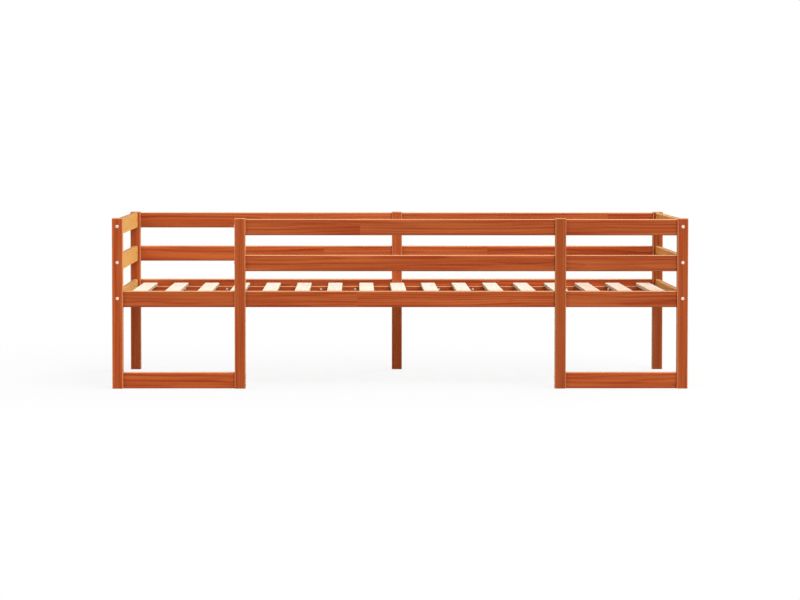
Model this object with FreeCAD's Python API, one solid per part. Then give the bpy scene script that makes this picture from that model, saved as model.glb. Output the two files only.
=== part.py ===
import FreeCAD, Part
import math
import os

# Kids bed of pine: a low frame with guard rails, an open bay at the front left to climb in by,
# and a slatted base. Sizes are in millimetres. X runs along the bed, Y from its front to its back
# and Z up. The origin is on the floor, under the middle of the bed.

# The mattress that the frame takes
mattress_length = 2000.0
mattress_width = 900.0
mattress_clearance = 2.0  # between the mattress and the posts, on each side

# Square posts
post_width = 39.0
post_edge_radius = 3.0
post_rise = 3.0  # above the upper guard rails

# Rails, all of one section and centred on the posts
rail_height = 59.0
rail_thickness = 18.0
rail_edge_radius = 4.0
side_rail_bottom = 294.5  # above the floor
guard_gap = 71.0  # between a rail and the next one above it
end_bay_width = 403.0  # clear width between a front corner post and the inner post beside it

# Slats, and the ledgers under their ends
slat_count = 17
slat_width = 55.0
slat_thickness = 13.0
slat_edge_radius = 2.5
slat_drop = 14.0  # top of the slats below the top of the side rails
slat_end_gap = 22.5  # between an end rail and the slat beside it
slat_play = 2.0  # between a slat's end and a post that it passes
slat_bearing = 17.0  # length of slat that rests on each ledger
ledger_height = 25.0
ledger_edge_radius = 3.0
ledger_play = 1.0  # between a ledger's end and the post beside it

# Connector bolts and the barrel nuts that they screw into
bolt_diameter = 6.0
bolt_hole_diameter = 7.0
bolt_head_diameter = 12.0
bolt_head_height = 2.2
bolt_head_radius = 1.2  # of the head's rounded rim
bolt_tip_chamfer = 0.8
bolt_past_nut = 8.0  # beyond the nut's axis
bolt_rise = 2.0  # of a guard's or side rail's bolt, above the middle of the rail
socket_width = 4.0  # hexagon, across its flats
socket_depth = 1.4
nut_diameter = 10.0
nut_setback = 30.0  # from the rail's end to the nut's axis
nut_cover = 3.0  # rail left at each end of a nut
nut_slot_width = 1.2
nut_slot_depth = 1.2

# Dowels
dowel_diameter = 8.0
dowel_chamfer = 1.0
dowel_in_rail = 20.0
dowel_web = 3.0  # post left between a dowel's end and the fixings on the post's centre line

# Double-ended cam bolts, and the cam discs that grip their heads
cam_diameter = 15.0
cam_setback = 24.0  # from the rail's end to the cam's axis
cam_below_bolt = 3.5  # of a cam, past the axis of its bolt
cam_recess = 0.5  # below the face of the rail
cam_slot_width = 1.5
cam_slot_depth = 2.0
cam_bolt_diameter = 7.0
cam_bolt_hole_diameter = 8.0
cam_bolt_neck_diameter = 5.0
cam_bolt_neck_length = 3.0
cam_bolt_head_length = 3.0
cam_bolt_past_axis = 2.0  # beyond the cam's axis

# Countersunk screws
screw_diameter = 4.0
screw_head_diameter = 8.0
screw_head_height = 2.4
screw_tip_length = 4.0
screw_recess_width = 1.0
screw_recess_length = 4.0
screw_recess_depth = 1.4
slat_screw_grip = 14.0  # in the ledger
slat_screw_room = 20.0  # least width of slat over a ledger that takes a screw
ledger_screw_cover = 6.0  # rail left past a ledger screw's point
ledger_screw_drop = 11.0  # below the ledger's top
screw_spread = 8.0  # least distance between the lines of crossing screws
rear_middle_screw_distance = 144.0  # from the middle post to the first screw of a rear ledger
rear_middle_screw_spacing = 133.0  # to the next one
rear_corner_screw_distance = 176.0  # from a rear corner post to the first screw of its ledger
rear_corner_screw_spacing = 163.0  # to the next one
front_screw_distance = 90.0  # from a front post to the first screw of a ledger beside it
front_screw_spacing = 320.0  # at most, between screws of a front ledger

# Clearances in the joinery
fit_play = 0.1  # round a pin, nut or screw in its hole, on the radius
hole_end_play = 1.0  # past the end of what a hole holds
drill_overrun = 1.0  # of a cutter, outside the face where it starts
fillet_share = 0.45  # of a board's thickness, the most that an edge is rounded by
level_tolerance = 0.01  # between heights that count as the same

# Places that follow from the sizes above
X = FreeCAD.Vector(1, 0, 0)
Y = FreeCAD.Vector(0, 1, 0)
Z = FreeCAD.Vector(0, 0, 1)
corner_x = mattress_length / 2 + mattress_clearance + post_width / 2
corner_y = mattress_width / 2 + mattress_clearance + post_width / 2
inner_post_x = corner_x - post_width - end_bay_width
rail_pitch = rail_height + guard_gap
rail_bottoms = {
    "floor_rail": 0.0,
    "side_rail": side_rail_bottom,
    "lower_guard": side_rail_bottom + rail_pitch,
    "upper_guard": side_rail_bottom + 2 * rail_pitch,
}
post_height = rail_bottoms["upper_guard"] + rail_height + post_rise

slat_top = side_rail_bottom + rail_height - slat_drop
ledger_top = slat_top - slat_thickness
slat_length = 2 * corner_y - post_width - 2 * slat_play
slat_run = 2 * corner_x - rail_thickness - 2 * slat_end_gap - slat_width
slat_pitch = slat_run / (slat_count - 1)
slat_screw_y = (slat_length - slat_bearing) / 2
rail_face_y = corner_y - rail_thickness / 2
ledger_depth = rail_face_y - slat_length / 2 + slat_bearing

bolt_length = post_width + nut_setback + bolt_past_nut
nut_length = rail_thickness - 2 * nut_cover
dowel_in_post = (post_width - dowel_diameter) / 2 - dowel_web
dowel_length = dowel_in_post + dowel_in_rail
cam_bolt_reach = post_width / 2 + cam_setback + cam_bolt_past_axis
slat_screw_length = slat_thickness + slat_screw_grip
ledger_screw_length = ledger_depth + rail_thickness - ledger_screw_cover

# The layout: where each post stands, and which rails each bay between two posts has
posts = {
    "front_left_corner_post": (-corner_x, -corner_y),
    "front_left_inner_post": (-inner_post_x, -corner_y),
    "front_right_inner_post": (inner_post_x, -corner_y),
    "front_right_corner_post": (corner_x, -corner_y),
    "rear_left_post": (-corner_x, corner_y),
    "rear_middle_post": (0.0, corner_y),
    "rear_right_post": (corner_x, corner_y),
}
through_posts = ("front_left_inner_post", "front_right_inner_post", "rear_middle_post")
guarded = ("side_rail", "lower_guard", "upper_guard")
long_bays = {
    "front_left": ("front_left_corner_post", "front_left_inner_post", ("floor_rail", "side_rail")),
    "front_middle": ("front_left_inner_post", "front_right_inner_post", guarded),
    "front_right": ("front_right_inner_post", "front_right_corner_post", ("floor_rail",) + guarded),
    "rear_left": ("rear_left_post", "rear_middle_post", guarded),
    "rear_right": ("rear_middle_post", "rear_right_post", guarded),
}
end_bays = {
    "left_end": ("front_left_corner_post", "rear_left_post"),
    "right_end": ("front_right_corner_post", "rear_right_post"),
}

boards = {}  # the uncut board of each node
holes = {}  # the cutters that each board gets
hardware = {
    name: []
    for name in (
        "connector_bolts",
        "barrel_nuts",
        "dowels",
        "cam_bolts",
        "cam_discs",
        "ledger_screws",
        "slat_screws",
    )
}


# Boards

def add_board(node, middle, size, grain, radius, rounded_top=False):
    """A straight board with the edges along its grain rounded, and those of its top too if asked."""
    box = Part.makeBox(size.x, size.y, size.z, middle - size * 0.5)
    thinnest = min(size.x, size.y, size.z)
    edges = []
    for edge in box.Edges:
        along = abs(edge.tangentAt(edge.FirstParameter).dot(grain)) > 0.5
        on_top = edge.BoundBox.ZMin > middle.z
        if along or (rounded_top and on_top):
            edges.append(edge)
    boards[node] = box.makeFillet(min(radius, fillet_share * thinnest), edges)
    holes[node] = []


def drill(node, mouth, direction, diameter, depth):
    """Adds a round hole to a board, from its mouth on the board's face."""
    start = mouth - direction * drill_overrun
    holes[node].append(Part.makeCylinder(diameter / 2, depth + drill_overrun, start, direction))


def post_point(post, height):
    """The point on a post's centre line at a height."""
    x, y = posts[post]
    return FreeCAD.Vector(x, y, height)


# Hardware, each made at the origin and then copied into its places

def placed(shape, point, direction):
    """A copy of a piece made along +Z, standing at a point and turned to a direction."""
    copy = shape.copy()
    copy.Placement = FreeCAD.Placement(point, FreeCAD.Rotation(Z, direction))
    return copy


def placed_across(shape, point, inward, open_side):
    """A copy of a piece whose +Z faces a rail's open side and whose +X points into the rail."""
    copy = shape.copy()
    turn = FreeCAD.Rotation(inward, open_side.cross(inward), open_side, "ZXY")
    copy.Placement = FreeCAD.Placement(point, turn)
    return copy


def rim_edges(solid, height):
    """The round edges of a solid at a height."""
    edges = []
    for edge in solid.Edges:
        flat = edge.BoundBox.ZLength < level_tolerance
        if flat and abs(edge.BoundBox.ZMin - height) < level_tolerance:
            edges.append(edge)
    return edges


def make_bolt():
    """A connector bolt along +Z: round head below z = 0, hexagon socket, plain shank."""
    head = Part.makeCylinder(bolt_head_diameter / 2, bolt_head_height, Z * -bolt_head_height)
    head = head.makeFillet(bolt_head_radius, rim_edges(head, -bolt_head_height))
    shank = Part.makeCylinder(bolt_diameter / 2, bolt_length)
    shank = shank.makeChamfer(bolt_tip_chamfer, rim_edges(shank, bolt_length))
    corner_radius = socket_width / math.sqrt(3)
    corners = []
    for step in range(7):
        angle = math.radians(60 * step)
        corner = FreeCAD.Vector(math.cos(angle), math.sin(angle), 0) * corner_radius
        corners.append(corner - Z * bolt_head_height)
    socket = Part.Face(Part.makePolygon(corners)).extrude(Z * socket_depth)
    return head.fuse(shank).removeSplitter().cut(socket)


def make_barrel_nut():
    """A barrel nut along Z about its middle, threaded along X, with a driver slot in its top."""
    body = Part.makeCylinder(nut_diameter / 2, nut_length, Z * (-nut_length / 2))
    thread_start = X * -nut_diameter
    thread = Part.makeCylinder(bolt_diameter / 2 + fit_play, 2 * nut_diameter, thread_start, X)
    slot_corner = FreeCAD.Vector(-nut_diameter, -nut_slot_width / 2, nut_length / 2 - nut_slot_depth)
    slot = Part.makeBox(2 * nut_diameter, nut_slot_width, 2 * nut_slot_depth, slot_corner)
    return body.cut([thread, slot])


def make_dowel():
    """A dowel along +Z with chamfered ends."""
    pin = Part.makeCylinder(dowel_diameter / 2, dowel_length)
    return pin.makeChamfer(dowel_chamfer, rim_edges(pin, 0) + rim_edges(pin, dowel_length))


def make_cam_bolt():
    """A double-ended bolt along Z about its middle, with a neck behind the head at each end."""
    shaft = Part.makeCylinder(cam_bolt_diameter / 2, 2 * cam_bolt_reach, Z * -cam_bolt_reach)
    grooves = []
    neck_end = cam_bolt_reach - cam_bolt_head_length
    for start in (neck_end - cam_bolt_neck_length, -neck_end):
        ring = Part.makeCylinder(cam_bolt_diameter, cam_bolt_neck_length, Z * start)
        core = Part.makeCylinder(cam_bolt_neck_diameter / 2, cam_bolt_neck_length, Z * start)
        grooves.append(ring.cut(core))
    return shaft.cut(grooves)


def make_cam():
    """A cam disc along Z with its bolt's axis at z = 0, open towards -X for the bolt's head."""
    height = rail_thickness / 2 - cam_recess + cam_below_bolt
    disc = Part.makeCylinder(cam_diameter / 2, height, Z * -cam_below_bolt)
    pocket_length = cam_diameter + cam_bolt_past_axis + hole_end_play
    pocket = Part.makeCylinder(cam_bolt_hole_diameter / 2, pocket_length, X * -cam_diameter, X)
    slots = []
    slot_bottom = rail_thickness / 2 - cam_recess - cam_slot_depth
    slot_length = cam_diameter / 2
    for length, width in ((slot_length, cam_slot_width), (cam_slot_width, slot_length)):
        corner = FreeCAD.Vector(-length / 2, -width / 2, slot_bottom)
        slots.append(Part.makeBox(length, width, 2 * cam_slot_depth, corner))
    return disc.cut([pocket] + slots)


def make_screw(length):
    """A countersunk screw along +Z, with the top of its head at z = 0 and a crossed recess."""
    head_radius = screw_head_diameter / 2
    radius = screw_diameter / 2
    outline = (
        (0, 0),
        (head_radius, 0),
        (radius, screw_head_height),
        (radius, length - screw_tip_length),
        (0, length),
        (0, 0),
    )
    wire = Part.makePolygon([X * across + Z * along for across, along in outline])
    body = Part.Face(wire).revolve(FreeCAD.Vector(), Z, 360)
    slots = []
    size = (screw_recess_length, screw_recess_width)
    for length_x, length_y in (size, size[::-1]):
        corner = FreeCAD.Vector(-length_x / 2, -length_y / 2, -screw_recess_depth)
        slots.append(Part.makeBox(length_x, length_y, 2 * screw_recess_depth, corner))
    return body.cut(slots)


bolt = make_bolt()
barrel_nut = make_barrel_nut()
dowel = make_dowel()
cam_bolt = make_cam_bolt()
cam = make_cam()
slat_screw = make_screw(slat_screw_length)
ledger_screw = make_screw(ledger_screw_length)


# Joints. A rail's end meets a post's face at the point face; inward points from there into the
# rail, and open_side is the side of the rail where nuts and cams go in.

def add_dowels(post, rail, face, inward):
    """Two dowels, at the quarter points of the rail's height."""
    hole = dowel_diameter + 2 * fit_play
    for side in (-1, 1):
        mouth = face + Z * (side * rail_height / 4)
        drill(post, mouth, -inward, hole, dowel_in_post + hole_end_play)
        drill(rail, mouth, inward, hole, dowel_in_rail + hole_end_play)
        hardware["dowels"].append(placed(dowel, mouth - inward * dowel_in_post, inward))


def add_bolt(post, rail, face, inward, open_side):
    """A bolt through the post, into a barrel nut that lies across the rail."""
    seat = face - inward * post_width
    nut_axis = face + inward * nut_setback
    nut_mouth = nut_axis + open_side * (rail_thickness / 2)
    drill(post, seat, inward, bolt_hole_diameter, post_width + drill_overrun)
    drill(rail, face, inward, bolt_hole_diameter, nut_setback + bolt_past_nut + hole_end_play)
    drill(rail, nut_mouth, -open_side, nut_diameter + 2 * fit_play, rail_thickness - nut_cover)
    hardware["connector_bolts"].append(placed(bolt, seat, inward))
    hardware["barrel_nuts"].append(placed_across(barrel_nut, nut_axis, inward, open_side))


def add_cam(rail, face, inward, open_side):
    """A cam disc in the rail, round one head of a double-ended bolt."""
    cam_axis = face + inward * cam_setback
    cam_mouth = cam_axis + open_side * (rail_thickness / 2)
    drill(rail, face, inward, cam_bolt_hole_diameter, cam_setback + cam_bolt_past_axis + hole_end_play)
    drill(rail, cam_mouth, -open_side, cam_diameter + 2 * fit_play, rail_thickness / 2 + cam_below_bolt)
    hardware["cam_discs"].append(placed_across(cam, cam_axis, inward, open_side))


def add_cam_bolt(post, height):
    """A double-ended bolt through a post, along X."""
    middle = post_point(post, height)
    face = middle - X * (post_width / 2)
    drill(post, face, X, cam_bolt_hole_diameter, post_width + drill_overrun)
    hardware["cam_bolts"].append(placed(cam_bolt, middle, X))


def add_screw(name, screw, head, direction, through, into, through_depth, length):
    """A countersunk screw through one board into another."""
    hole = screw_diameter + 2 * fit_play
    cone_top = screw_head_diameter / 2 + fit_play
    drill(through, head, direction, hole, through_depth + drill_overrun)
    holes[through].append(Part.makeCone(cone_top, hole / 2, screw_head_height, head, direction))
    mouth = head + direction * through_depth
    drill(into, mouth, direction, hole, length - through_depth + hole_end_play)
    hardware[name].append(placed(screw, head, direction))


def clear_of(place, others):
    """A place along a ledger, moved aside where it would come too close to another."""
    for other in others:
        if abs(place - other) < screw_spread:
            return other + math.copysign(screw_spread, place - other)
    return place


# Posts
for post in posts:
    add_board(
        post,
        post_point(post, post_height / 2),
        FreeCAD.Vector(post_width, post_width, post_height),
        Z,
        post_edge_radius,
        rounded_top=True,
    )

# Rails along the bed. They are dowelled to the corner posts. At an inner or middle post, two rails
# that meet share a cam bolt, and a rail on its own is bolted through the post.
for bay, (first, second, levels) in long_bays.items():
    start = posts[first][0] + post_width / 2
    end = posts[second][0] - post_width / 2
    for level in levels:
        rail = f"{bay}_{level}"
        centre = rail_bottoms[level] + rail_height / 2
        middle = FreeCAD.Vector((start + end) / 2, posts[first][1], centre)
        size = FreeCAD.Vector(end - start, rail_thickness, rail_height)
        add_board(rail, middle, size, X, rail_edge_radius)
        for post, inward in ((first, X), (second, -X)):
            face = post_point(post, centre) + inward * (post_width / 2)
            sharing = [
                other
                for other, (left, right, other_levels) in long_bays.items()
                if other != bay and post in (left, right) and level in other_levels
            ]
            if post not in through_posts:
                add_dowels(post, rail, face, inward)
            elif sharing:
                add_dowels(post, rail, face, inward)
                add_cam(rail, face, inward, Y)
                if inward == X:
                    add_cam_bolt(post, centre)
            elif level == "floor_rail":
                for side in (-1, 1):
                    add_bolt(post, rail, face + Z * (side * rail_height / 4), inward, Y)
            else:
                add_dowels(post, rail, face, inward)
                add_bolt(post, rail, face + Z * bolt_rise, inward, Y)

# End rails, each bolted through a front and a rear corner post
for bay, (first, second) in end_bays.items():
    x = posts[first][0]
    open_side = X if x < 0 else -X
    for level in guarded:
        rail = f"{bay}_{level}"
        centre = rail_bottoms[level] + rail_height / 2
        size = FreeCAD.Vector(rail_thickness, 2 * corner_y - post_width, rail_height)
        add_board(rail, FreeCAD.Vector(x, 0, centre), size, Y, rail_edge_radius)
        for post, inward in ((first, Y), (second, -Y)):
            face = post_point(post, centre) + inward * (post_width / 2)
            add_dowels(post, rail, face, inward)
            add_bolt(post, rail, face + Z * bolt_rise, inward, open_side)

# Ledgers, one on the inner face of each side rail along the bed
ledger_spans = {}
for bay, (first, second, levels) in long_bays.items():
    side = -1 if posts[first][1] < 0 else 1
    start = posts[first][0] + post_width / 2 + ledger_play
    end = posts[second][0] - post_width / 2 - ledger_play
    ledger_y = side * (rail_face_y - ledger_depth / 2)
    middle = FreeCAD.Vector((start + end) / 2, ledger_y, ledger_top - ledger_height / 2)
    size = FreeCAD.Vector(end - start, ledger_depth, ledger_height)
    add_board(f"{bay}_ledger", middle, size, X, ledger_edge_radius)
    ledger_spans[bay] = (side, start, end)

# Slats across the bed. A slat's end is screwed down where enough of it lies over a ledger.
slat_screw_places = {bay: [] for bay in ledger_spans}
for number in range(slat_count):
    slat = f"slat_{number + 1:02d}"
    slat_x = slat_pitch * number - slat_run / 2
    middle = FreeCAD.Vector(slat_x, 0, slat_top - slat_thickness / 2)
    size = FreeCAD.Vector(slat_width, slat_length, slat_thickness)
    add_board(slat, middle, size, Y, slat_edge_radius)
    for bay, (side, start, end) in ledger_spans.items():
        low = max(start, slat_x - slat_width / 2)
        high = min(end, slat_x + slat_width / 2)
        if high - low >= slat_screw_room:
            screw_x = (low + high) / 2
            slat_screw_places[bay].append(screw_x)
            head = FreeCAD.Vector(screw_x, side * slat_screw_y, slat_top)
            add_screw(
                "slat_screws",
                slat_screw,
                head,
                -Z,
                slat,
                f"{bay}_ledger",
                slat_thickness,
                slat_screw_length,
            )

# Screws that hold the ledgers to the side rails, kept off the lines of the slat screws
for bay, (side, start, end) in ledger_spans.items():
    if side > 0:
        outward = -1 if bay == "rear_left" else 1
        first = outward * (post_width / 2 + rear_middle_screw_distance)
        last = outward * (corner_x - post_width / 2 - rear_corner_screw_distance)
        second = first + outward * rear_middle_screw_spacing
        places = [first, second, last - outward * rear_corner_screw_spacing, last]
    else:
        first = start - ledger_play + front_screw_distance
        span = end + ledger_play - front_screw_distance - first
        steps = max(1, math.ceil(span / front_screw_spacing))
        places = [first + span * step / steps for step in range(steps + 1)]
    for place in places:
        screw_x = clear_of(place, slat_screw_places[bay])
        ledger_face_y = side * (rail_face_y - ledger_depth)
        head = FreeCAD.Vector(screw_x, ledger_face_y, ledger_top - ledger_screw_drop)
        add_screw(
            "ledger_screws",
            ledger_screw,
            head,
            Y * side,
            f"{bay}_ledger",
            f"{bay}_side_rail",
            ledger_depth,
            ledger_screw_length,
        )

# One file for each board, and one for each kind of hardware
os.makedirs("parts", exist_ok=True)
for node, board in boards.items():
    cut_board = board.cut(holes[node]) if holes[node] else board
    cut_board.exportStep(f"parts/{node}.step")
for node, pieces in hardware.items():
    Part.makeCompound(pieces).exportStep(f"parts/{node}.step")
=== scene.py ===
"""A low kids bed of stained pine: its boards, fittings, studio and camera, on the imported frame."""

import math
import random

import bpy
from mathutils import Euler, Matrix, Vector


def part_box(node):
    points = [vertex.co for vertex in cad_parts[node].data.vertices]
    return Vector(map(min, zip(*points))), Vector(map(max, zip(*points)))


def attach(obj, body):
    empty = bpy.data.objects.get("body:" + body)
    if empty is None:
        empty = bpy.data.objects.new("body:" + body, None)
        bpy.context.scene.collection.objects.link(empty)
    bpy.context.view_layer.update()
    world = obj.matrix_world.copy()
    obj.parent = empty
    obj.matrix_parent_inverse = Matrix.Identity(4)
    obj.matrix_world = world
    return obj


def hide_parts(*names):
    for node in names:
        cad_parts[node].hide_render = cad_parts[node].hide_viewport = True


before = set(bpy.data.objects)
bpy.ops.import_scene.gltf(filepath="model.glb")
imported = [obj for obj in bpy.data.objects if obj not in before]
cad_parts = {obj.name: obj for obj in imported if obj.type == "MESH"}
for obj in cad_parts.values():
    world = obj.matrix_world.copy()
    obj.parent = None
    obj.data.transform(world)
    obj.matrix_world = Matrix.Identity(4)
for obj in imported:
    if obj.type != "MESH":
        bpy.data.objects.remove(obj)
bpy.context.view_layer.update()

bl_info = {
    "name": "Kids bed",
    "version": (1, 0, 0),
    "blender": (4, 5, 0),
    "location": "View3D > Sidebar > Bed",
    "description": "Makes the boards, fittings, studio and camera of a kids bed",
    "category": "Object",
}

BODY = "root"
ALONG_X, ALONG_Y, ALONG_Z = range(3)
REARWARD = Vector((0, 1, 0))
UP = Vector((0, 0, 1))
SLIGHT = 0.02  # a share of a radius that counts as nothing
MERGE_DISTANCE = 0.00002  # corners of a mesh that are nearer than this are one corner
SMOOTH_ANGLE = math.radians(30)  # faces that meet at less than this are shaded as one
HOLE_SIDES = 48  # flat sides that a round hole is made of
HOLE_END_PLAY = 0.001  # length of a hole past the end of the pin in it
# Radius of the straight hole that each kind of pin lies in
PIN_HOLES = {
    "cam_bolts": 0.0040,
    "connector_bolts": 0.0035,
    "dowels": 0.0041,
    "ledger_screws": 0.0021,
    "slat_screws": 0.0021,
}
# Tones of the boards that are lighter or darker than most, whose tones lie between 0 and 1; some of these
# tones are painted light and shade, as said at their lines
BOARD_TONES_AND_LIGHT = {
    # Painted light: the floor rails are lighter, for the light that the floor throws up on them.
    "front_left_floor_rail": 2.2,
    "front_right_floor_rail": 1.7,
    "front_left_corner_post": 1.4,
    "front_right_inner_post": -1.3,
    # Painted shade: the rear right post is darker, for the shade that falls on its lower part under the
    # bed.
    "rear_right_post": -1.3,
    "rear_middle_post": 1.1,
    # Painted highlight: the right end rails are lighter, for the sheen seen along their inner faces.
    "right_end_lower_guard": 3.4,
    "right_end_side_rail": 3.4,
    "right_end_upper_guard": 3.6,
    "slat_02": 1.0,
    "slat_05": 0.4,
    "slat_10": 0.2,
    "slat_12": 0.5,
    "slat_13": 0.1,
    "slat_16": 0.8,
    # Painted light: the last slat is lighter, to undo the shade that the right end rails throw on it.
    "slat_17": 2.6,
}
# Share of a painted warm bounce light, which the stained wood round the slats near the right end throws on
# them
WARM_BOUNCE_SLATS = {
    "slat_12": 0.2,
    "slat_13": 0.2,
    "slat_14": 0.4,
    "slat_15": 1.0,
    "slat_16": 0.7,
    "slat_17": 0.7,
}
# Finger joints whose place is known, as a share of the board's length from its left end
FINGER_JOINTS = {
    "front_middle_side_rail": 0.36,
    "front_middle_upper_guard": 0.37,
    "rear_left_lower_guard": 0.73,
    "rear_right_lower_guard": 0.34,
    "rear_right_upper_guard": 0.82,
}
JOINT_RANGE = (0.3, 0.7)  # where the other finger joints may lie, as a share of the board's length
UNJOINTED_SHARE = 0.25  # share of the other long boards that have no finger joint
LOG_COUNT = 40  # lamellas that a board's first one is drawn from
PITH_DISTANCE = (0.030, 0.075)  # from the pith to the middle of a board, across its thickness
PITH_OFFSET = 0.055  # the same across its width, at most
ARC_MIDDLE = 1 - math.sqrt(0.5)  # how far the middle of a rounded edge lies from each face, in radii
FACING = 0.9  # cosine of the most that a face may turn away from an axis and still face along it
GRAIN_RELIEF = 0.0004  # height of the grain on a planed face
SENSOR_WIDTH = 36.0  # of the camera, in millimetres
VIEW_DEPTH = 200.0  # how far the camera sees
FLOOR_SIDE = 60.0  # length of each side of the floor
FLOOR_DROP = 0.0005  # of the floor, below the feet
FLOOR_FADE = (1.2, 3.0)  # distances from the bed's middle between which the floor turns to plain white
FLOOR_WHITE = 0.85  # share of plain white in the floor, as it is seen under the bed
FLOOR_BOUNCE = 0.40  # share of the floor's colour in the light that it throws back
# Place of each lamp, length of its sides, and the setting that holds its power
LAMPS = {
    "key_lamp": ((6.0, -14.0, 11.0), 12.0, "key_power"),
    "top_lamp": ((1.6, 0.0, 8.0), 5.0, "top_power"),
    "fill_lamp": ((-7.0, -6.0, 4.0), 5.0, "fill_power"),
    "back_lamp": ((5.0, 7.0, 5.0), 4.0, "back_power"),
}
LAMP_AIM = Vector((0.0, 0.0, 0.3))
WHITE = (1.0, 1.0, 1.0, 1.0)
HALF = (0.5, 0.5, 0.5)  # the mean of a random colour


def nodes_named(*endings):
    """The names of the frame's nodes that end in one of these ways, in order."""
    names = [name for name in sorted(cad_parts) if name.endswith(endings)]
    if not names:
        raise RuntimeError(f"the frame has no node that ends in {endings}")
    return names


def slat_names():
    """The names of the slats' nodes, in order along the bed."""
    numbered = [name for name in sorted(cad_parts) if name.startswith("slat_") and name[-1].isdigit()]
    if not numbered:
        raise RuntimeError("the frame has no slats")
    return numbered


# Settings that a user would change


class BedTimber(bpy.types.PropertyGroup):
    """Sizes of the boards' rounded edges, sunk holes and grain."""

    post_edge: bpy.props.FloatProperty(
        name="Post edge",
        description="Radius of a post's rounded edges",
        default=0.003,
        min=0.0005,
        max=0.012,
        unit="LENGTH",
    )
    rail_edge: bpy.props.FloatProperty(
        name="Rail edge",
        description="Radius of a rail's rounded edges",
        default=0.004,
        min=0.0005,
        max=0.008,
        unit="LENGTH",
    )
    ledger_edge: bpy.props.FloatProperty(
        name="Ledger edge",
        description="Radius of a ledger's rounded edges",
        default=0.003,
        min=0.0005,
        max=0.01,
        unit="LENGTH",
    )
    slat_edge: bpy.props.FloatProperty(
        name="Slat edge",
        description="Radius of a slat's rounded edges",
        default=0.0025,
        min=0.0005,
        max=0.006,
        unit="LENGTH",
    )
    edge_steps: bpy.props.IntProperty(
        name="Edge steps",
        description="Flat strips that a rounded edge is made of",
        default=6,
        min=2,
        max=16,
    )
    pocket_play: bpy.props.FloatProperty(
        name="Pocket play",
        description="Gap round a cam disc, nut or screw head in its hole",
        default=0.00015,
        min=0.0,
        max=0.001,
        unit="LENGTH",
    )
    screw_head_height: bpy.props.FloatProperty(
        name="Screw head height",
        description="Depth of a screw's countersunk head",
        default=0.0024,
        min=0.001,
        max=0.005,
        unit="LENGTH",
    )
    screw_radius: bpy.props.FloatProperty(
        name="Screw radius",
        description="Radius of a screw below its head",
        default=0.002,
        min=0.001,
        max=0.004,
        unit="LENGTH",
    )
    ring_spacing: bpy.props.FloatProperty(
        name="Ring spacing",
        description="Width of one year's growth in the pine",
        default=0.0062,
        min=0.001,
        max=0.02,
        unit="LENGTH",
    )
    lamella: bpy.props.FloatProperty(
        name="Lamella length",
        description="Longest of the lamellas that a board is finger-jointed from",
        default=1.6,
        min=1.2,
        max=4.0,
        unit="LENGTH",
    )
    post_figure: bpy.props.FloatProperty(
        name="Post figure",
        description="How strongly the grain shows on a post",
        default=0.8,
        min=0.0,
        max=2.0,
        subtype="FACTOR",
    )
    rail_figure: bpy.props.FloatProperty(
        name="Rail figure",
        description="How strongly the grain shows on a rail or a ledger",
        default=1.15,
        min=0.0,
        max=2.0,
        subtype="FACTOR",
    )
    least_jointed: bpy.props.FloatProperty(
        name="Least jointed length",
        description="Boards shorter than this are cut from one lamella",
        default=0.7,
        min=0.1,
        max=2.0,
        unit="LENGTH",
    )
    # The rub settings below paint the edges lighter: partly worn stain, and partly a painted highlight
    # where light falls on the upper edges, on the upright edges of a post and on the tops of the rails.
    rub_and_highlight_upper: bpy.props.FloatProperty(
        name="Rub, upper edges",
        description="How far the stain is rubbed off the upper edges of a rail, and off a post's top edges",
        default=1.0,
        min=0.0,
        max=1.0,
        subtype="FACTOR",
    )
    rub_and_highlight_lower: bpy.props.FloatProperty(
        name="Rub, lower edges",
        description="How far the stain is rubbed off the lower edges of a rail",
        default=0.15,
        min=0.0,
        max=1.0,
        subtype="FACTOR",
    )
    # Painted highlight: the flat top of a rail is painted lighter, as if lit from above.
    painted_top_highlight: bpy.props.FloatProperty(
        name="Rub, tops",
        description="How far the stain is rubbed off the top of a rail, between its edges",
        default=0.45,
        min=0.0,
        max=1.0,
        subtype="FACTOR",
    )
    rub_and_highlight_upright: bpy.props.FloatProperty(
        name="Rub, upright edges",
        description="How far the stain is rubbed off the upright edges of a post",
        default=0.8,
        min=0.0,
        max=1.0,
        subtype="FACTOR",
    )


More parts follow.
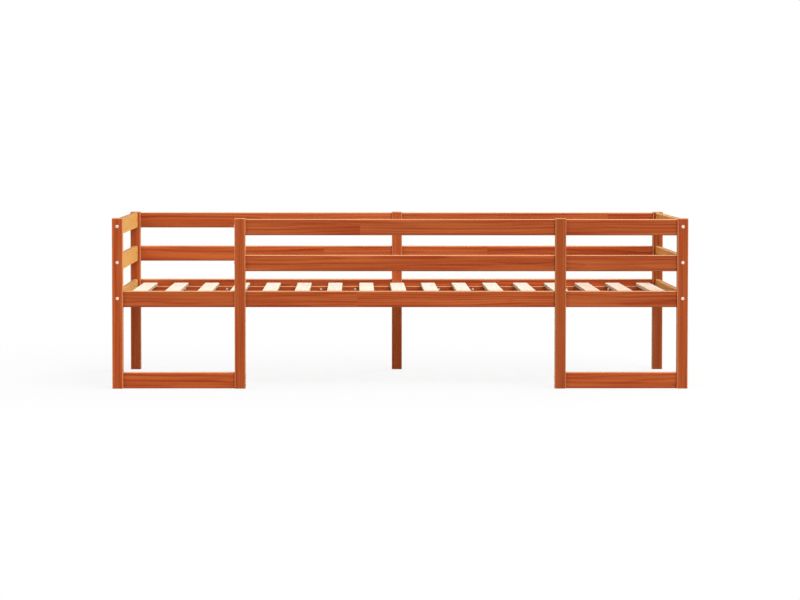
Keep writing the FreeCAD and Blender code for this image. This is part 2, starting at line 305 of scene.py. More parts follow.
class BedFinishes(bpy.types.PropertyGroup):
    """Colours of the timber and the fittings."""

    stain_light: bpy.props.FloatVectorProperty(
        name="Stain, light",
        description="Stained pine between the year rings",
        default=(0.50, 0.116, 0.027),
        min=0.0,
        max=1.0,
        subtype="COLOR",
    )
    stain_dark: bpy.props.FloatVectorProperty(
        name="Stain, dark",
        description="Stained pine in the dark wood of a year ring",
        default=(0.27, 0.026, 0.001),
        min=0.0,
        max=1.0,
        subtype="COLOR",
    )
    # Partly worn stain and partly a painted highlight, laid on the rounded edges and on the tops of the
    # rails.
    stain_rubbed_and_highlit: bpy.props.FloatVectorProperty(
        name="Stain, rubbed",
        description="Stained pine on an edge that was sanded thin",
        default=(0.95, 0.46, 0.22),
        min=0.0,
        max=1.0,
        subtype="COLOR",
    )
    lacquer_sheen: bpy.props.FloatVectorProperty(
        name="Lacquer sheen",
        description="Amber sheen of the lacquer where it is seen along the surface",
        default=(1.0, 0.61, 0.155),
        min=0.0,
        max=1.0,
        subtype="COLOR",
    )
    pine_light: bpy.props.FloatVectorProperty(
        name="Pine, light",
        description="Unstained pine between the year rings",
        default=(0.89, 0.87, 0.76),
        min=0.0,
        max=1.0,
        subtype="COLOR",
    )
    pine_dark: bpy.props.FloatVectorProperty(
        name="Pine, dark",
        description="Unstained pine in the dark wood of a year ring",
        default=(0.80, 0.72, 0.55),
        min=0.0,
        max=1.0,
        subtype="COLOR",
    )
    # Painted shade and warm bounce light on the narrow sides of a slat, which lie in the shade between the
    # slats.
    pine_shaded_side: bpy.props.FloatVectorProperty(
        name="Pine, sawn",
        description="Unstained pine on the sawn narrow sides of a slat",
        default=(0.62, 0.42, 0.27),
        min=0.0,
        max=1.0,
        subtype="COLOR",
    )
    # Painted warm bounce light on the slats near the right end, from the stained wood round them.
    pine_warm_bounce: bpy.props.FloatVectorProperty(
        name="Pine, heartwood",
        description="What heartwood leaves of the colour of unstained pine",
        default=(1.00, 0.82, 0.77),
        min=0.0,
        max=1.0,
        subtype="COLOR",
    )
    zinc: bpy.props.FloatVectorProperty(
        name="Zinc",
        description="Zinc plating of the bolts, nuts, cams and screws",
        default=(0.76, 0.66, 0.59),
        min=0.0,
        max=1.0,
        subtype="COLOR",
    )
    beech: bpy.props.FloatVectorProperty(
        name="Beech",
        description="Beech of the dowels",
        default=(0.58, 0.38, 0.22),
        min=0.0,
        max=1.0,
        subtype="COLOR",
    )


class BedStage(bpy.types.PropertyGroup):
    """Camera, lamps and floor."""

    camera_place: bpy.props.FloatVectorProperty(
        name="Camera place",
        description="Where the camera stands",
        default=(-0.1641, -11.8429, 0.9196),
        subtype="TRANSLATION",
        unit="LENGTH",
    )
    camera_pan: bpy.props.FloatProperty(
        name="Camera pan",
        description="Turn of the camera to the right of straight ahead",
        default=math.radians(0.8208),
        subtype="ANGLE",
    )
    camera_tilt: bpy.props.FloatProperty(
        name="Camera tilt",
        description="Turn of the camera down from level",
        default=math.radians(3.0169),
        subtype="ANGLE",
    )
    camera_roll: bpy.props.FloatProperty(
        name="Camera roll",
        description="Turn of the camera about its own line of sight",
        default=math.radians(0.0460),
        subtype="ANGLE",
    )
    camera_lens: bpy.props.FloatProperty(
        name="Camera lens",
        description="Focal length of the camera, on a sensor 36 mm wide",
        default=141.588,
        min=10.0,
        unit="CAMERA",
    )
    key_power: bpy.props.FloatProperty(
        name="Key lamp",
        description="Power of the large lamp at the front right",
        default=2730.0,
        min=0.0,
        unit="POWER",
    )
    top_power: bpy.props.FloatProperty(
        name="Top lamp",
        description="Power of the lamp overhead",
        default=265.0,
        min=0.0,
        unit="POWER",
    )
    fill_power: bpy.props.FloatProperty(
        name="Fill lamp",
        description="Power of the weak lamp at the front left",
        default=300.0,
        min=0.0,
        unit="POWER",
    )
    back_power: bpy.props.FloatProperty(
        name="Back lamp",
        description="Power of the lamp at the rear right",
        default=390.0,
        min=0.0,
        unit="POWER",
    )
    sky_level: bpy.props.FloatProperty(
        name="Sky level",
        description="Strength of the even light from all round",
        default=0.22,
        min=0.0,
        max=1.0,
        subtype="FACTOR",
    )
    floor_colour: bpy.props.FloatVectorProperty(
        name="Floor",
        description="Colour of the floor",
        default=(0.79, 0.79, 0.79),
        min=0.0,
        max=1.0,
        subtype="COLOR",
    )


# Shaders


class Value:
    """A node's output that can stand in Python arithmetic, which adds Math nodes."""

    def __init__(self, finish, socket):
        self.finish = finish
        self.socket = socket

    def __add__(self, other):
        return self.finish.math("ADD", self, other)

    def __radd__(self, other):
        return self.finish.math("ADD", other, self)

    def __sub__(self, other):
        return self.finish.math("SUBTRACT", self, other)

    def __rsub__(self, other):
        return self.finish.math("SUBTRACT", other, self)

    def __mul__(self, other):
        return self.finish.math("MULTIPLY", self, other)

    def __rmul__(self, other):
        return self.finish.math("MULTIPLY", other, self)

    def __truediv__(self, other):
        return self.finish.math("DIVIDE", self, other)

    def __rtruediv__(self, other):
        return self.finish.math("DIVIDE", other, self)


class Finish:
    """A node tree under construction, for a material or for the world."""

    def __init__(self, tree):
        self.tree = tree
        tree.nodes.clear()

    def node(self, kind, settings, sockets, output=0):
        """Adds a node, sets it up, fills or links its inputs, and returns one of its outputs."""
        node = self.tree.nodes.new(kind)
        for name, setting in settings.items():
            setattr(node, name, setting)
        for name, given in sockets.items():
            socket = node.inputs[name]
            if isinstance(given, Value):
                self.tree.links.new(given.socket, socket)
            else:
                socket.default_value = given
        if len(node.outputs) == 0:
            return None
        return Value(self, node.outputs[output])

    def math(self, operation, first, second=0.0, clamp=False):
        """One Math node."""
        settings = {"operation": operation, "use_clamp": clamp}
        return self.node("ShaderNodeMath", settings, {0: first, 1: second})

    def vector(self, operation, first, second, output=0):
        """One Vector Math node."""
        return self.node("ShaderNodeVectorMath", {"operation": operation}, {0: first, 1: second}, output)

    def scaled(self, colour, factor):
        """A colour or vector made larger or smaller."""
        return self.node("ShaderNodeVectorMath", {"operation": "SCALE"}, {0: colour, "Scale": factor})

    def mixed(self, first, second, factor):
        """A colour between two others."""
        settings = {"data_type": "RGBA", "clamp_factor": True}
        return self.node("ShaderNodeMix", settings, {0: factor, 6: first, 7: second}, 2)

    def step(self, value, low, high):
        """0 below low, 1 above high, and smooth between."""
        settings = {"interpolation_type": "SMOOTHSTEP"}
        return self.node("ShaderNodeMapRange", settings, {0: value, 1: low, 2: high, 3: 0.0, 4: 1.0})

    def attribute(self, name, output):
        """A value that the mesh carries."""
        return self.node("ShaderNodeAttribute", {"attribute_name": name}, {}, output)

    def noise(self, place, scales, detail=2.0, output=0):
        """Noise whose grain has its own size along each axis; scales are in features per metre."""
        stretched = self.vector("MULTIPLY", place, scales)
        sockets = {"Vector": stretched, "Scale": 1.0, "Detail": detail, "Roughness": 0.55}
        return self.node("ShaderNodeTexNoise", {}, sockets, output)


def linear(colour, level=1.0):
    """A colour property, made darker or lighter, with the alpha that a socket takes."""
    return (colour[0] * level, colour[1] * level, colour[2] * level, 1.0)


def new_finish(name):
    """A material with an empty node tree."""
    material = bpy.data.materials.new(name)
    material.use_nodes = True
    return material, Finish(material.node_tree)


def close_finish(finish, constants, links):
    """Adds the surface shader with its constant and its varying inputs, and the output."""
    sockets = dict(constants)
    sockets.update(links)
    surface = finish.node("ShaderNodeBsdfPrincipled", {}, sockets)
    finish.node("ShaderNodeOutputMaterial", {}, {"Surface": surface})


class Pine:
    """The parts of pine's figure, on a board's own grain coordinates.

    Each scale is in features per metre, along the grain and across it twice.
    """

    lamella_shift = (3.0, 0.05, 0.03)  # metres by which one lamella's figure may differ from the next one's
    bend_scale = (1.3, 7.0, 7.0)
    bend_reach = (0.0, 0.030, 0.030)  # metres by which the rings and streaks wander
    streak_scale = (1.6, 95.0, 95.0)
    fibre_scale = (26.0, 1300.0, 1300.0)
    cloud_scale = (1.5, 9.0, 9.0)
    knot_scale = (3.4, 11.0, 11.0)

    def __init__(self, finish, timber):
        grain = finish.attribute("grain", "Vector")
        along = finish.node("ShaderNodeSeparateXYZ", {}, {0: grain}, 0)
        lamella = finish.math("FLOOR", along / timber.lamella)
        draw = finish.node("ShaderNodeTexWhiteNoise", {"noise_dimensions": "1D"}, {"W": lamella}, "Color")
        centred = finish.vector("SUBTRACT", draw, HALF)
        shift = finish.vector("MULTIPLY", centred, self.lamella_shift)
        place = finish.vector("ADD", grain, shift)

        bend = finish.noise(place, self.bend_scale, output="Color")
        bend = finish.vector("SUBTRACT", bend, HALF)
        bend = finish.vector("MULTIPLY", bend, self.bend_reach)
        bent = finish.vector("ADD", place, bend)
        log = finish.vector("MULTIPLY", bent, (0.0, 1.0, 1.0))
        radius = finish.vector("LENGTH", log, (0.0, 0.0, 0.0), "Value")
        ring = finish.math("FRACT", radius / timber.ring_spacing)

        self.finish = finish
        self.late = finish.step(ring, 0.25, 0.88) * (1.0 - finish.step(ring, 0.92, 1.0))
        self.streak = finish.step(finish.noise(bent, self.streak_scale, detail=4.0), 0.30, 0.70)
        self.fibre = finish.step(finish.noise(place, self.fibre_scale), 0.30, 0.70)
        self.cloud = finish.step(finish.noise(place, self.cloud_scale), 0.32, 0.68)
        self.lamella_tone = finish.node("ShaderNodeSeparateXYZ", {}, {0: draw}, 1)

        cell = {"Vector": finish.vector("MULTIPLY", place, self.knot_scale), "Scale": 1.0}
        reach = finish.node("ShaderNodeTexVoronoi", {}, cell, "Distance")
        chance = finish.node("ShaderNodeTexVoronoi", {}, cell, "Color")
        chosen = finish.step(finish.node("ShaderNodeSeparateXYZ", {}, {0: chance}, 0), 0.93, 0.95)
        self.knot = (1.0 - finish.step(reach, 0.06, 0.15)) * chosen

    def darkness(self, late, streak, fibre, cloud):
        """How dark the wood is, from the weight of each part of its figure."""
        return self.late * late + self.streak * streak + self.fibre * fibre + self.cloud * cloud

    def relief(self, strength, fibre, late):
        """The normal of a planed face, on which the fibre stands up and the late wood lies low."""
        height = self.fibre * fibre - self.late * late
        sockets = {"Strength": strength, "Distance": GRAIN_RELIEF, "Height": height}
        return self.finish.node("ShaderNodeBump", {}, sockets)


def stained_pine(scene):
    """Pine with a red-brown stain under a thin satin lacquer, rubbed lighter on its edges, where a painted
    highlight is also laid, most on the upper edges and on the tops of the rails.
    """
    timber = scene.bed_timber
    colours = scene.bed_finishes
    material, finish = new_finish("stained_pine_finish")
    pine = Pine(finish, timber)
    board_tone_and_light = finish.attribute("tone", "Fac")
    rubbed = finish.attribute("rubbed", "Fac")
    end_grain = finish.attribute("end_grain", "Fac")
    figure = finish.attribute("figure", "Fac")

    dark = pine.darkness(late=0.26, streak=0.50, fibre=0.12, cloud=0.16)
    dark = (dark - 0.5) * figure + 0.5
    dark = finish.math("MAXIMUM", dark, pine.knot * 0.95)
    colour = finish.mixed(linear(colours.stain_light), linear(colours.stain_dark), dark)
    # The board's tone holds painted light and shade for some boards.
    level = 0.97 + board_tone_and_light * 0.08 + (pine.lamella_tone - 0.5) * 0.12 - end_grain * 0.22
    colour = finish.scaled(colour, level)
    # Worn stain mixed with a painted highlight on the edges and on the rails' tops.
    edge_wear_and_highlight = rubbed * (0.70 + pine.cloud * 0.25)
    colour = finish.mixed(colour, linear(colours.stain_rubbed_and_highlit), edge_wear_and_highlight)

    roughness = 0.50 + pine.fibre * 0.10 - pine.late * 0.08 + end_grain * 0.15
    relief = pine.relief(0.25, fibre=0.5, late=0.5)
    constants = {
        "Specular IOR Level": 0.15,
        "Sheen Weight": 1.0,
        "Sheen Roughness": 0.24,
        "Sheen Tint": linear(colours.lacquer_sheen),
    }
    close_finish(finish, constants, {"Base Color": colour, "Roughness": roughness, "Normal": relief})
    return material


def bare_pine(scene):
    """Planed pine without stain or lacquer, for the slats."""
    timber = scene.bed_timber
    colours = scene.bed_finishes
    material, finish = new_finish("bare_pine_finish")
    pine = Pine(finish, timber)
    board_tone_and_light = finish.attribute("tone", "Fac")
    end_grain = finish.attribute("end_grain", "Fac")
    sawn = finish.attribute("sawn", "Fac")
    heartwood = finish.attribute("heartwood", "Fac")

    dark = pine.darkness(late=0.32, streak=0.22, fibre=0.12, cloud=0.18)
    colour = finish.mixed(linear(colours.pine_light), linear(colours.pine_dark), dark)
    colour = finish.mixed(colour, linear(colours.stain_dark), pine.knot * 0.55)
    # Painted shade on the narrow sides of a slat.
    colour = finish.mixed(colour, linear(colours.pine_shaded_side), sawn * 0.8)
    # Painted warm bounce light, tinting the slats near the right end.
    tint = finish.mixed(WHITE, linear(colours.pine_warm_bounce), heartwood)
    colour = finish.vector("MULTIPLY", colour, tint)
    # The slat's tone holds painted light for the last slat.
    colour = finish.scaled(colour, 0.95 + board_tone_and_light * 0.10 - end_grain * 0.15)

    roughness = 0.62 + pine.fibre * 0.12 - pine.late * 0.06
    relief = pine.relief(0.3, fibre=0.6, late=0.4)
    constants = {"Specular IOR Level": 0.15}
    close_finish(finish, constants, {"Base Color": colour, "Roughness": roughness, "Normal": relief})
    return material


def zinc_plate(scene):
    """Zinc-plated steel, with faint clouds in the plating and fine turning marks."""
    colours = scene.bed_finishes
    material, finish = new_finish("zinc_plate_finish")
    place = finish.node("ShaderNodeTexCoord", {}, {}, "Object")
    clouds = finish.step(finish.noise(place, (420.0, 420.0, 420.0), 3.0), 0.3, 0.7)
    marks = finish.step(finish.noise(place, (2600.0, 2600.0, 2600.0), 1.0), 0.3, 0.7)
    colour = finish.mixed(linear(colours.zinc), linear(colours.zinc, 0.82), clouds)
    roughness = 0.26 + clouds * 0.12 + marks * 0.06
    bump = finish.node("ShaderNodeBump", {}, {"Strength": 0.15, "Distance": 0.0001, "Height": marks})
    constants = {"Metallic": 1.0}
    close_finish(finish, constants, {"Base Color": colour, "Roughness": roughness, "Normal": bump})
    return material


def turned_beech(scene):
    """Plain beech with its short dark flecks, for the dowels."""
    colours = scene.bed_finishes
    material, finish = new_finish("turned_beech_finish")
    place = finish.node("ShaderNodeTexCoord", {}, {}, "Object")
    flecks = finish.step(finish.noise(place, (160.0, 700.0, 700.0), 2.0), 0.5, 0.7)
    colour = finish.mixed(linear(colours.beech), linear(colours.beech, 0.72), flecks)
    roughness = 0.6 + flecks * 0.1
    close_finish(finish, {"Specular IOR Level": 0.25}, {"Base Color": colour, "Roughness": roughness})
    return material


def finish_named(scene, make):
    """A finish that is made once and then shared."""
    material = bpy.data.materials.get(make.__name__ + "_finish")
    return material or make(scene)


# Boards and their holes


def only(piece):
    """Makes a piece the one that is selected and active."""
    bpy.ops.object.select_all(action="DESELECT")
    piece.select_set(True)
    bpy.context.view_layer.objects.active = piece


def round_edges(piece, grain, radius, steps, rounded_top):
    """Rounds the edges that run along a block's grain, and those of its top if asked."""
    mesh = piece.data
    middle = sum((vertex.co.z for vertex in mesh.vertices)) / len(mesh.vertices)
    mesh.vertices.foreach_set("select", [False] * len(mesh.vertices))
    mesh.polygons.foreach_set("select", [False] * len(mesh.polygons))
    for edge in mesh.edges:
        start, end = (mesh.vertices[index].co for index in edge.vertices)
        along = abs((end - start).normalized()[grain]) > 0.5
        on_top = min(start.z, end.z) > middle
        edge.select = along or (rounded_top and on_top)
    bpy.context.tool_settings.mesh_select_mode = (False, True, False)
    bpy.ops.object.mode_set(mode="EDIT")
    bpy.ops.mesh.bevel(offset=radius, segments=steps, profile=0.5, affect="EDGES")
    bpy.ops.object.mode_set(mode="OBJECT")


blanks = {}  # the first board of each size, with the place of its lowest corner


def add_board(node, grain, radius, steps, rounded_top=False):
    """A board in the place of a node. The first of a size is modelled, and the others are copies."""
    low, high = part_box(node)
    size = high - low
    kind = tuple(round(side, 5) for side in size) + (grain, round(radius, 6), steps, rounded_top)
    name = f"{node}_timber"
    if kind in blanks:
        first_mesh, first_low = blanks[kind]
        mesh = first_mesh.copy()
        mesh.transform(Matrix.Translation(low - first_low))
        piece = bpy.data.objects.new(name, mesh)
        bpy.context.scene.collection.objects.link(piece)
        only(piece)
    else:
        bpy.ops.object.select_all(action="DESELECT")
        bpy.ops.mesh.primitive_cube_add(size=1, location=(low + high) / 2)
        piece = bpy.context.active_object
        piece.name = name
        piece.scale = size
        bpy.ops.object.transform_apply(location=True, rotation=True, scale=True)
        round_edges(piece, grain, radius, steps, rounded_top)
        blanks[kind] = (piece.data.copy(), low)
    piece.data.name = name
    return piece


def merge_corners(piece):
    """Makes one corner of those that lie in the same place."""
    only(piece)
    bpy.ops.object.mode_set(mode="EDIT")
    bpy.ops.mesh.select_all(action="SELECT")
    bpy.ops.mesh.remove_doubles(threshold=MERGE_DISTANCE)
    bpy.ops.object.mode_set(mode="OBJECT")


def add_cutter(start, end, start_radius, end_radius):
    """A round cutter from one point to another, straight or tapered."""
    along = end - start
    bpy.ops.mesh.primitive_cone_add(
        vertices=HOLE_SIDES,
        radius1=start_radius,
        radius2=end_radius,
        depth=along.length,
        location=(start + end) / 2,
        rotation=along.to_track_quat("Z", "Y").to_euler(),
    )
    return bpy.context.active_object


def cut_holes(piece, holes):
    """Cuts round holes into a board: each is (start, end, radius at its start, radius at its end)."""
    if not holes:
        return
    bpy.ops.object.select_all(action="DESELECT")
    cutters = [add_cutter(*hole) for hole in holes]
    for cutter in cutters:
        cutter.select_set(True)
    bpy.context.view_layer.objects.active = cutters[0]
    bpy.ops.object.join()
    joined = bpy.context.active_object
    bpy.ops.object.transform_apply(location=True, rotation=True, scale=True)
    only(piece)
    drill = piece.modifiers.new("drill", "BOOLEAN")
    drill.operation = "DIFFERENCE"
    drill.solver = "MANIFOLD"
    drill.object = joined
    bpy.ops.object.modifier_apply(modifier=drill.name)
    bpy.data.objects.remove(joined)
    merge_corners(piece)


def sunk_hole(mouth, outward, depth, mouth_radius, bottom_radius):
    """A hole that sinks from a board's face. It starts as far outside the face as it is wide."""
    proud = mouth_radius
    taper = (mouth_radius - bottom_radius) / depth
    return mouth + outward * proud, mouth - outward * depth, mouth_radius + taper * proud, bottom_radius


def merged_copy(node, name):
    """A copy of a node's mesh, in which the corners that lie in the same place are one."""
    piece = bpy.data.objects.new(name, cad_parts[node].data.copy())
    piece.data.name = name
    bpy.context.scene.collection.objects.link(piece)
    merge_corners(piece)
    return piece


def fittings_in(node):
    """The boxes of the separate fittings that a node of several holds."""
    merged_copy(node, "fittings")
    bpy.ops.mesh.separate(type="LOOSE")
    boxes = []
    for part in list(bpy.context.selected_objects):
        places = [vertex.co for vertex in part.data.vertices]
        low = Vector([min(place[axis] for place in places) for axis in range(3)])
        high = Vector([max(place[axis] for place in places) for axis in range(3)])
        boxes.append((low, high))
        bpy.data.objects.remove(part)
    boxes.sort(key=lambda box: tuple(box[0]))
    return boxes


fitting_boxes = {}  # the boxes of each kind of fitting


def fittings_of(kind):
    """The boxes of one kind of fitting, worked out once."""
    if kind not in fitting_boxes:
        fitting_boxes[kind] = fittings_in(kind)
    return fitting_boxes[kind]


def lies_in(point, box, margin=0.0):
    """Whether a point lies in a box, or no further outside it than a margin."""
    low, high = box
    return all(low[axis] - margin < point[axis] < high[axis] + margin for axis in range(3))


def face_towards(box, outward):
    """The axis across the face of a box that looks outward, and the face's place on it."""
    axis = max(range(3), key=lambda number: abs(outward[number]))
    low, high = box
    return axis, high[axis] if outward[axis] > 0 else low[axis]


def cam_and_nut_holes(node, outward, play):
    """The round holes in a rail's open side, one for each cam disc or barrel nut in it."""
    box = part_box(node)
    axis, face = face_towards(box, outward)
    holes = []
    for fitting in fittings_of("cam_discs") + fittings_of("barrel_nuts"):
        low, high = fitting
        mouth = (low + high) / 2
        if lies_in(mouth, box):
            mouth[axis] = face
            foot = face_towards(fitting, -outward)[1]
            radius = (high.z - low.z) / 2 + play
            holes.append(sunk_hole(mouth, outward, abs(face - foot) + play, radius, radius))
    return holes


def screw_holes(node, kind, outward, timber):
    """The countersunk holes in a board, one for each screw whose head lies in the face outward."""
    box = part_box(node)
    axis, face = face_towards(box, outward)
    play = timber.pocket_play
    holes = []
    for screw in fittings_of(kind):
        low, high = screw
        mouth = (low + high) / 2
        mouth[axis] = face
        head = face_towards(screw, outward)[1]
        if abs(head - face) < timber.screw_radius and lies_in(mouth, box, play):
            radius = max(high[number] - low[number] for number in range(3) if number != axis) / 2 + play
            holes.append(sunk_hole(mouth, outward, timber.screw_head_height, radius, timber.screw_radius))
    return holes


def pin_holes(node):
    """The straight holes in a board, one for each dowel, bolt or screw that goes into it."""
    low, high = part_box(node)
    holes = []
    for kind, radius in PIN_HOLES.items():
        for pin_low, pin_high in fittings_of(kind):
            axis = max(range(3), key=lambda number: pin_high[number] - pin_low[number])
            start = (pin_low + pin_high) / 2
            end = start.copy()
            start[axis] = pin_low[axis] - HOLE_END_PLAY
            end[axis] = pin_high[axis] + HOLE_END_PLAY
            in_line = all(low[side] < start[side] < high[side] for side in range(3) if side != axis)
            if in_line and start[axis] < high[axis] and end[axis] > low[axis]:
                holes.append((start, end, radius, radius))
    return holes


def edge_distance(place, box, axis):
    """How far a point of a board lies from the nearer of its two faces across an axis."""
    low, high = box
    return min(place[axis] - low[axis], high[axis] - place[axis])


def rubbed_and_highlit_share(place, box, grain, radius, timber):
    """How far a board is painted lighter at a point, for worn stain and a painted highlight: most in the
    middle of its rounded edges, more on its upper edges than on its lower ones, and on a rail's top.
    """
    low, high = box
    to_faces = [edge_distance(place, box, axis) for axis in range(3) if axis != grain]
    off_edge = max(to_faces)
    if grain == ALONG_Z:
        off_top = max(high.z - place.z, min(to_faces))
        strength = timber.rub_and_highlight_upper if off_top < off_edge else timber.rub_and_highlight_upright
        off_edge = min(off_edge, off_top)
    else:
        # Painted highlight: the upper edges of a rail are painted lighter than the lower ones, as light
        # falls from above.
        strength = timber.rub_and_highlight_upper if place.z > (low.z + high.z) / 2 else timber.rub_and_highlight_lower
    edge_lighter = strength * min(1.0, max(0.0, 1 - off_edge / radius) / (1 - ARC_MIDDLE))
    # Painted highlight on the flat top of a rail.
    on_top = grain != ALONG_Z and high.z - place.z < radius * SLIGHT
    return max(edge_lighter, timber.painted_top_highlight) if on_top else edge_lighter


def log_place(node, length, timber):
    """A board's place in a log of its own: along it, beside its pith and off its pith; and its tone, which
    holds painted light and shade for some boards.
    """
    draw = random.Random(node)
    joint = length * FINGER_JOINTS.get(node, draw.uniform(*JOINT_RANGE))
    if length < timber.least_jointed or (draw.random() < UNJOINTED_SHARE and node not in FINGER_JOINTS):
        joint = timber.lamella
    along = timber.lamella * draw.randrange(1, LOG_COUNT) - joint
    off = draw.choice((-1, 1)) * draw.uniform(*PITH_DISTANCE)
    beside = draw.uniform(-PITH_OFFSET, PITH_OFFSET)
    tone = BOARD_TONES_AND_LIGHT.get(node, draw.random())
    return (along, beside, off), tone


def store(mesh, name, domain, values):
    """Gives each point or face of a mesh a number."""
    mesh.attributes.new(name, "FLOAT", domain).data.foreach_set("value", values)


def lay_grain(piece, node, grain, radius):
    """Gives a board its place in a log, its tone (which holds painted light and shade for some boards),
    figure, painted warm bounce light on some slats, edges that are worn and painted with a highlight, and
    narrow sides, which are painted with shade on a slat.
    """
    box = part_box(node)
    low, high = box
    size = high - low
    middle = (low + high) / 2
    first, second = sorted((axis for axis in range(3) if axis != grain), key=lambda axis: -size[axis])
    timber = bpy.context.scene.bed_timber
    (along, beside, off), tone = log_place(node, size[grain], timber)

    mesh = piece.data
    coordinates = []
    rubbed = []
    for vertex in mesh.vertices:
        place = vertex.co
        across = place[first] - middle[first]
        deep = place[second] - middle[second]
        coordinates += [place[grain] - low[grain] + along, across + beside, deep + off]
        rubbed.append(rubbed_and_highlit_share(place, box, grain, radius, timber))
    mesh.attributes.new("grain", "FLOAT_VECTOR", "POINT").data.foreach_set("vector", coordinates)
    count = len(mesh.vertices)
    figure = timber.post_figure if grain == ALONG_Z else timber.rail_figure
    store(mesh, "rubbed", "POINT", rubbed)
    store(mesh, "tone", "POINT", [tone] * count)
    store(mesh, "figure", "POINT", [figure] * count)
    store(mesh, "heartwood", "POINT", [WARM_BOUNCE_SLATS.get(node, 0.0)] * count)
    # End grain, and the narrow sides, which the slats' finish paints with shade.
    for name, axis in (("end_grain", grain), ("sawn", first)):
        facing = [1.0 if abs(face.normal[axis]) > FACING else 0.0 for face in mesh.polygons]
        store(mesh, name, "FACE", facing)


def stand_for(piece, node):
    """Puts a finished piece in its node's stead."""
    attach(piece, BODY)
    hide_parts(node)


def complete_board(piece, node, grain, radius, material):
    """Bores a board for its pins, smooths it, lays its grain and puts it in its node's stead."""
    cut_holes(piece, pin_holes(node))
    only(piece)
    bpy.ops.object.shade_smooth_by_angle(angle=SMOOTH_ANGLE)
    flats = piece.modifiers.new("flat faces", "WEIGHTED_NORMAL")
    flats.keep_sharp = True
    bpy.ops.object.modifier_apply(modifier=flats.name)
    lay_grain(piece, node, grain, radius)
    piece.data.materials.clear()
    piece.data.materials.append(material)
    stand_for(piece, node)


# Operators


class BED_OT_posts(bpy.types.Operator):
    """Make the seven square posts"""

    bl_idname = "bed.posts"
    bl_label = "Posts"

    def execute(self, context):
        timber = context.scene.bed_timber
        material = finish_named(context.scene, stained_pine)
        for node in nodes_named("_post"):
            piece = add_board(node, ALONG_Z, timber.post_edge, timber.edge_steps, rounded_top=True)
            complete_board(piece, node, ALONG_Z, timber.post_edge, material)
        return {"FINISHED"}


class BED_OT_rails(bpy.types.Operator):
    """Make the side rails, guard rails and floor rails, with the holes of their cams and nuts"""

    bl_idname = "bed.rails"
    bl_label = "Rails"

    def execute(self, context):
        timber = context.scene.bed_timber
        material = finish_named(context.scene, stained_pine)
        for node in nodes_named("_rail", "_guard"):
            low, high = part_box(node)
            across_bed = high.y - low.y > high.x - low.x
            grain = ALONG_Y if across_bed else ALONG_X
            if across_bed:
                open_side = Vector((-math.copysign(1, low.x), 0, 0))
            else:
                open_side = REARWARD
            piece = add_board(node, grain, timber.rail_edge, timber.edge_steps)
            cut_holes(piece, cam_and_nut_holes(node, open_side, timber.pocket_play))
            complete_board(piece, node, grain, timber.rail_edge, material)
        return {"FINISHED"}


class BED_OT_ledgers(bpy.types.Operator):
    """Make the ledgers under the slats' ends, with the holes of their screws"""

    bl_idname = "bed.ledgers"
    bl_label = "Ledgers"

    def execute(self, context):
        timber = context.scene.bed_timber
        material = finish_named(context.scene, stained_pine)
        for node in nodes_named("_ledger"):
            low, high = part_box(node)
            inward = Vector((0, -math.copysign(1, low.y), 0))
            piece = add_board(node, ALONG_X, timber.ledger_edge, timber.edge_steps)
            cut_holes(piece, screw_holes(node, "ledger_screws", inward, timber))
            complete_board(piece, node, ALONG_X, timber.ledger_edge, material)
        return {"FINISHED"}


class BED_OT_slats(bpy.types.Operator):
    """Make the slats, with the holes of their screws"""

    bl_idname = "bed.slats"
    bl_label = "Slats"

    def execute(self, context):
        timber = context.scene.bed_timber
        material = finish_named(context.scene, bare_pine)
        for node in slat_names():
            piece = add_board(node, ALONG_Y, timber.slat_edge, timber.edge_steps)
            cut_holes(piece, screw_holes(node, "slat_screws", UP, timber))
            complete_board(piece, node, ALONG_Y, timber.slat_edge, material)
        return {"FINISHED"}


class BED_OT_fittings(bpy.types.Operator):
    """Finish the bolts, nuts, cams, screws and dowels, and close the screws' points"""

    bl_idname = "bed.fittings"
    bl_label = "Fittings"

    def execute(self, context):
        finishes = {"zinc_plated_steel": zinc_plate, "beech": turned_beech}
        for node in nodes_named("_bolts", "_nuts", "_discs", "_screws", "dowels"):
            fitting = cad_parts[node]
            for material_slot in fitting.material_slots:
                make = finishes[material_slot.material.name.split(".")[0]]
                material_slot.material = finish_named(context.scene, make)
        for node in nodes_named("_screws"):
            screws = merged_copy(node, f"{node}_closed")
            bpy.ops.mesh.customdata_custom_splitnormals_clear()
            bpy.ops.object.shade_smooth_by_angle(angle=SMOOTH_ANGLE)
            stand_for(screws, node)
        return {"FINISHED"}


def add_lamp(name, place, side, power):
    """A large soft square lamp, aimed at the bed."""
    turn = (LAMP_AIM - Vector(place)).to_track_quat("-Z", "Y").to_euler()
    bpy.ops.object.light_add(type="AREA", location=place, rotation=turn)
    lamp = bpy.context.active_object
    lamp.name = name
    lamp.data.name = name
    lamp.data.shape = "SQUARE"
    lamp.data.size = side
    lamp.data.energy = power


def light_rays(finish):
    """1 for the rays that show the background: those of the camera, of gloss and of glass."""
    seen = finish.node("ShaderNodeLightPath", {}, {}, "Is Camera Ray")
    glossy = finish.node("ShaderNodeLightPath", {}, {}, "Is Glossy Ray")
    through = finish.node("ShaderNodeLightPath", {}, {}, "Is Transmission Ray")
    return finish.math("ADD", seen + glossy, through, clamp=True)


def paint_world(world, level):
    """An even pale light all round, with white behind everything."""
    world.use_nodes = True
    finish = Finish(world.node_tree)
    light = finish.node("ShaderNodeBackground", {}, {"Color": WHITE, "Strength": level})
    backdrop = finish.node("ShaderNodeBackground", {}, {"Color": WHITE, "Strength": 1.0})
    shown = finish.node("ShaderNodeMixShader", {}, {0: light_rays(finish), 1: light, 2: backdrop})
    finish.node("ShaderNodeOutputWorld", {}, {"Surface": shown})


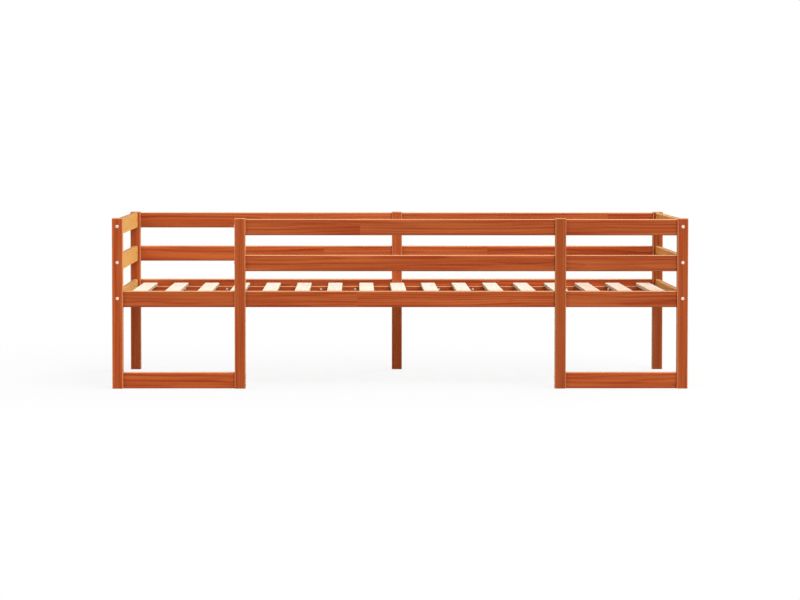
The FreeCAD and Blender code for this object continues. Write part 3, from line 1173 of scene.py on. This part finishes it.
def pale_floor(scene):
    """A pale matt floor that keeps the bed's shadow near it and fades to the white backdrop."""
    material, finish = new_finish("pale_floor_finish")
    place = finish.node("ShaderNodeTexCoord", {}, {}, "Object")
    distance = finish.vector("LENGTH", place, (0.0, 0.0, 0.0), "Value")
    far = finish.step(distance, *FLOOR_FADE)
    seen = finish.node("ShaderNodeLightPath", {}, {}, "Is Camera Ray")
    bright = linear(scene.bed_stage.floor_colour)
    dim = linear(scene.bed_stage.floor_colour, FLOOR_BOUNCE)
    matt = finish.node("ShaderNodeBsdfDiffuse", {}, {"Color": finish.mixed(dim, bright, seen)})
    white = finish.node("ShaderNodeEmission", {}, {"Color": WHITE, "Strength": 1.0})
    share = light_rays(finish) * (FLOOR_WHITE + far * (1.0 - FLOOR_WHITE))
    shown = finish.node("ShaderNodeMixShader", {}, {0: share, 1: matt, 2: white})
    finish.node("ShaderNodeOutputMaterial", {}, {"Surface": shown})
    return material


def add_floor(scene):
    """A wide floor under the bed's feet."""
    bpy.ops.object.select_all(action="DESELECT")
    bpy.ops.mesh.primitive_plane_add(size=FLOOR_SIDE, location=(0, 0, -FLOOR_DROP))
    floor = bpy.context.active_object
    floor.name = "floor"
    bpy.ops.object.transform_apply(location=True, rotation=True, scale=True)
    floor.data.materials.append(pale_floor(scene))


def add_camera(scene):
    """The camera, far in front of the bed and a little above it."""
    stage = scene.bed_stage
    aimed = Euler((math.radians(90) - stage.camera_tilt, 0, -stage.camera_pan)).to_matrix()
    turn = (aimed @ Matrix.Rotation(stage.camera_roll, 3, "Z")).to_euler()
    bpy.ops.object.camera_add(location=stage.camera_place, rotation=turn)
    camera = bpy.context.active_object
    camera.name = "camera"
    camera.data.sensor_fit = "HORIZONTAL"
    camera.data.sensor_width = SENSOR_WIDTH
    camera.data.lens = stage.camera_lens
    camera.data.clip_end = VIEW_DEPTH
    scene.camera = camera


class BED_OT_stage(bpy.types.Operator):
    """Make the floor, the lamps, the backdrop and the camera"""

    bl_idname = "bed.stage"
    bl_label = "Studio and camera"

    def execute(self, context):
        scene = context.scene
        scene.view_settings.view_transform = "Standard"
        add_floor(scene)
        for name, (place, side, power) in LAMPS.items():
            add_lamp(name, place, side, getattr(scene.bed_stage, power))
        if scene.world is None:
            scene.world = bpy.data.worlds.new("studio")
        paint_world(scene.world, scene.bed_stage.sky_level)
        add_camera(scene)
        return {"FINISHED"}


class BED_PT_panel(bpy.types.Panel):
    """The bed's pieces and settings"""

    bl_idname = "BED_PT_panel"
    bl_label = "Kids bed"
    bl_space_type = "VIEW_3D"
    bl_region_type = "UI"
    bl_category = "Bed"

    def draw(self, context):
        layout = self.layout
        for operator in OPERATORS:
            layout.operator(operator.bl_idname)
        for group in (context.scene.bed_timber, context.scene.bed_finishes, context.scene.bed_stage):
            box = layout.box()
            for name in group.__annotations__:
                box.prop(group, name)


GROUPS = (BedTimber, BedFinishes, BedStage)
OPERATORS = (BED_OT_posts, BED_OT_rails, BED_OT_ledgers, BED_OT_slats, BED_OT_fittings, BED_OT_stage)


def register():
    for kind in GROUPS + OPERATORS + (BED_PT_panel,):
        bpy.utils.register_class(kind)
    bpy.types.Scene.bed_timber = bpy.props.PointerProperty(type=BedTimber)
    bpy.types.Scene.bed_finishes = bpy.props.PointerProperty(type=BedFinishes)
    bpy.types.Scene.bed_stage = bpy.props.PointerProperty(type=BedStage)


def unregister():
    del bpy.types.Scene.bed_stage
    del bpy.types.Scene.bed_finishes
    del bpy.types.Scene.bed_timber
    for kind in reversed(GROUPS + OPERATORS + (BED_PT_panel,)):
        bpy.utils.unregister_class(kind)


def main():
    """Makes the whole bed."""
    register()
    bpy.ops.bed.posts()
    bpy.ops.bed.rails()
    bpy.ops.bed.ledgers()
    bpy.ops.bed.slats()
    bpy.ops.bed.fittings()
    bpy.ops.bed.stage()


if __name__ == "__main__":
    main()
